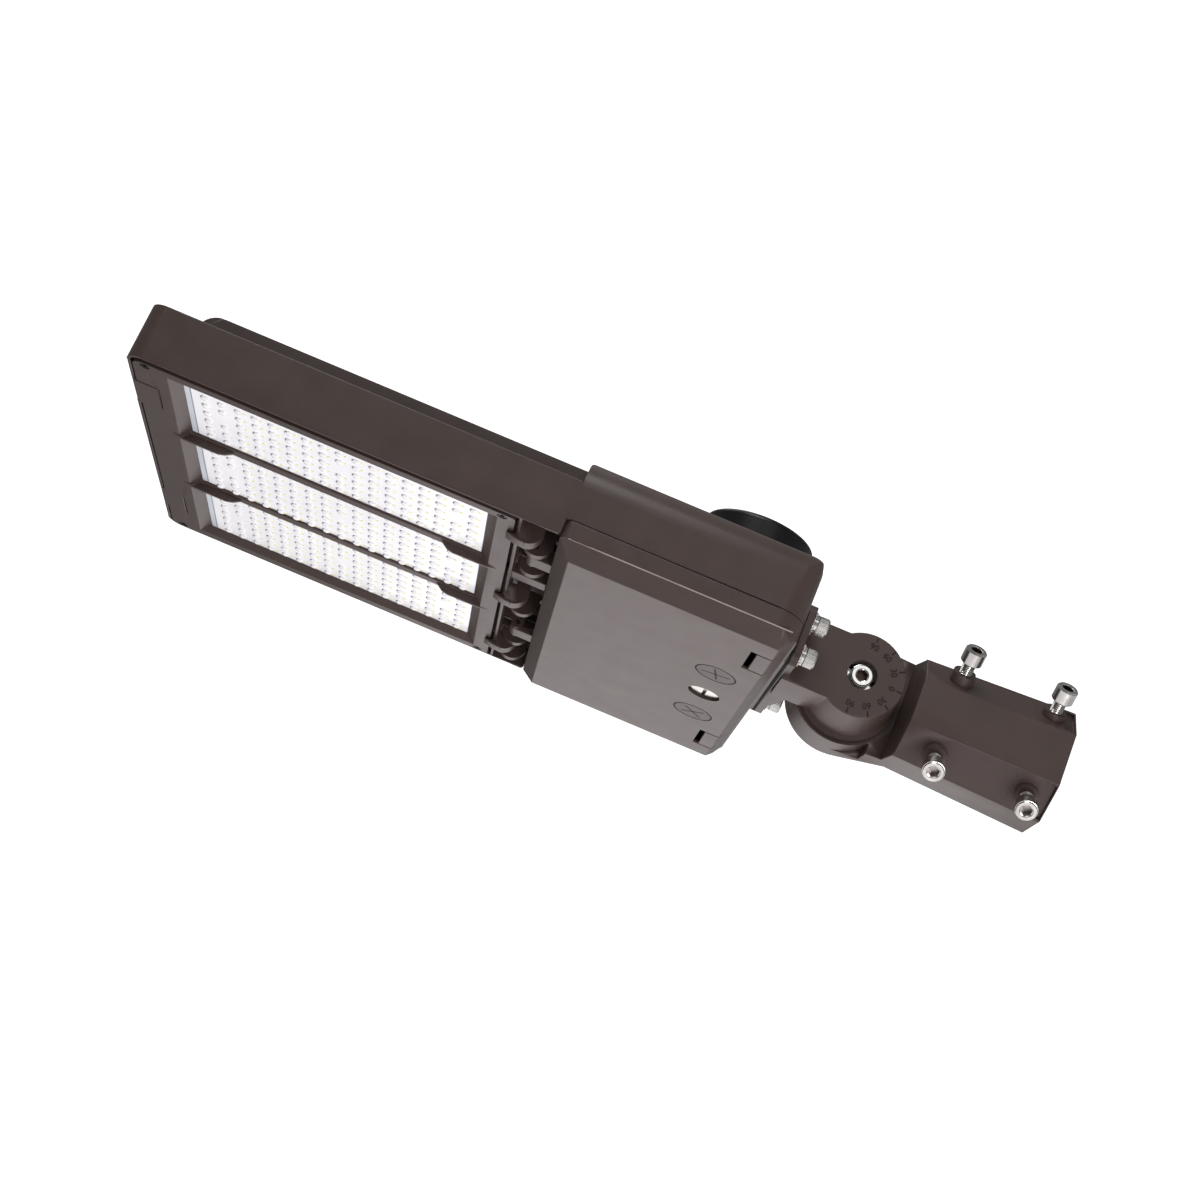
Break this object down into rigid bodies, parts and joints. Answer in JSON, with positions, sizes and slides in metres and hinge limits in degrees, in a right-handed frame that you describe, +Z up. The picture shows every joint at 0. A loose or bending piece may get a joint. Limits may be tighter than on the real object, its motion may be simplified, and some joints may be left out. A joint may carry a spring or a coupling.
{
  "type": "shoebox area light",
  "caption": "Flat rectangular LED area light with finned top, hinged driver door, twist-lock photocontrol and a tilting slip fitter for a pole tenon.",
  "frame": {"origin": "centre of the slip fitter's mouth, on the axis of the tenon bore", "axes": "+X out of the slip fitter's mouth towards the pole, +Z up when the light is level, the LEDs face -Z"},
  "size_m": [0.6886, 0.33, 0.1367],
  "materials": {
    "bronze_coat": "dark bronze powder coat",
    "steel": "satin",
    "rubber_black": "matt",
    "lens_clear": "clear, moulded",
    "gasket_grey": "matt",
    "board_white": "white solder mask",
    "plug_plastic": "matt",
    "switch_black": "matt",
    "dial_cream": "matt",
    "cap_black": "satin",
    "contact_brass": "plain",
    "driver_case": "satin",
    "ground_green": "painted",
    "terminal_white": "matt"
  },
  "bodies": {
    "slipfitter": {"slipfitter_socket": "bronze_coat"},
    "set_screw_a": {"set_screw_upper_rear": "steel"},
    "set_screw_b": {"set_screw_upper_front": "steel"},
    "set_screw_c": {"set_screw_lower_rear": "steel"},
    "set_screw_d": {"set_screw_lower_front": "steel"},
    "fixture": {"knuckle_bracket": "bronze_coat", "pivot_bolt": "steel", "pivot_washers": "steel", "pivot_nut": "steel", "flange_bolts": "steel", "flange_split_washers": "steel", "flange_serrated_washers": "steel", "flange_gasket": "rubber_black", "main_housing": "bronze_coat", "lens_bezel": "bronze_coat", "bezel_corner_screws": "steel", "lens_near": "lens_clear", "lens_middle": "lens_clear", "lens_far": "lens_clear", "lens_gasket_near": "gasket_grey", "lens_gasket_middle": "gasket_grey", "lens_gasket_far": "gasket_grey", "board_screws": "steel", "led_board_near": "board_white", "led_board_middle": "board_white", "led_board_far": "board_white", "door_hinge_pins": "steel", "receptacle_gasket": "rubber_black", "led_driver": "driver_case", "driver_screws": "steel", "surge_protector": "switch_black", "terminal_block": "terminal_white", "ground_screw": "ground_green", "tunnel_grommet": "rubber_black", "led_lead": "rubber_black", "mains_lead": "rubber_black"},
    "door": {"driver_door": "bronze_coat", "door_gasket": "rubber_black", "selector_switch_near": "switch_black", "selector_switch_far": "switch_black"},
    "door_fastener": {"door_screw": "steel", "door_screw_clip": "steel"},
    "plug_near": {"selector_plug_near": "plug_plastic"},
    "plug_far": {"selector_plug_far": "plug_plastic"},
    "dial_near": {"selector_dial_near": "dial_cream"},
    "dial_far": {"selector_dial_far": "dial_cream"},
    "receptacle": {"receptacle": "cap_black", "receptacle_contacts": "contact_brass", "receptacle_ring": "cap_black"},
    "cap": {"photocontrol_cap": "cap_black", "cap_blades": "contact_brass"}
  },
  "joints": [
    {"name": "tilt", "type": "hinge", "parent": "slipfitter", "child": "fixture", "pos_m": [-0.1556, 0, 0], "axis": [0, 1, 0], "range_deg": [-90, 90]},
    {"name": "door_swing", "type": "hinge", "parent": "fixture", "child": "door", "pos_m": [-0.398, 0, -0.0275], "axis": [0, 1, 0], "range_deg": [0, 90]},
    {"name": "door_screw_turn", "type": "hinge", "parent": "door", "child": "door_fastener", "pos_m": [-0.2521, 0, -0.0454], "axis": [0, 0, 1], "range_deg": [0, 90]},
    {"name": "plug_pull_near", "type": "slide", "parent": "door", "child": "plug_near", "axis": [0, 0, -1], "range_m": [0, 0.012]},
    {"name": "plug_pull_far", "type": "slide", "parent": "door", "child": "plug_far", "axis": [0, 0, -1], "range_m": [0, 0.012]},
    {"name": "dial_turn_near", "type": "hinge", "parent": "door", "child": "dial_near", "pos_m": [-0.2521, -0.0526, -0.035], "axis": [0, 0, 1], "range_deg": [0, 270]},
    {"name": "dial_turn_far", "type": "hinge", "parent": "door", "child": "dial_far", "pos_m": [-0.2521, 0.0526, -0.035], "axis": [0, 0, 1], "range_deg": [0, 270]},
    {"name": "receptacle_aim", "type": "hinge", "parent": "fixture", "child": "receptacle", "pos_m": [-0.2571, 0, 0.03], "axis": [0, 0, 1], "range_deg": [-170, 170]},
    {"name": "cap_twist", "type": "hinge", "parent": "receptacle", "child": "cap", "pos_m": [-0.2571, 0, 0.05], "axis": [0, 0, 1], "range_deg": [0, 20]},
    {"name": "set_screw_run_upper_rear", "type": "slide", "parent": "slipfitter", "child": "set_screw_a", "axis": [0, -0.7071, 0.7071], "range_m": [-0.008, 0.006]},
    {"name": "set_screw_run_upper_front", "type": "slide", "parent": "slipfitter", "child": "set_screw_b", "axis": [0, -0.7071, 0.7071], "range_m": [-0.008, 0.006]},
    {"name": "set_screw_run_lower_rear", "type": "slide", "parent": "slipfitter", "child": "set_screw_c", "axis": [0, -0.7071, -0.7071], "range_m": [-0.008, 0.006]},
    {"name": "set_screw_run_lower_front", "type": "slide", "parent": "slipfitter", "child": "set_screw_d", "axis": [0, -0.7071, -0.7071], "range_m": [-0.008, 0.006]}
  ]
}
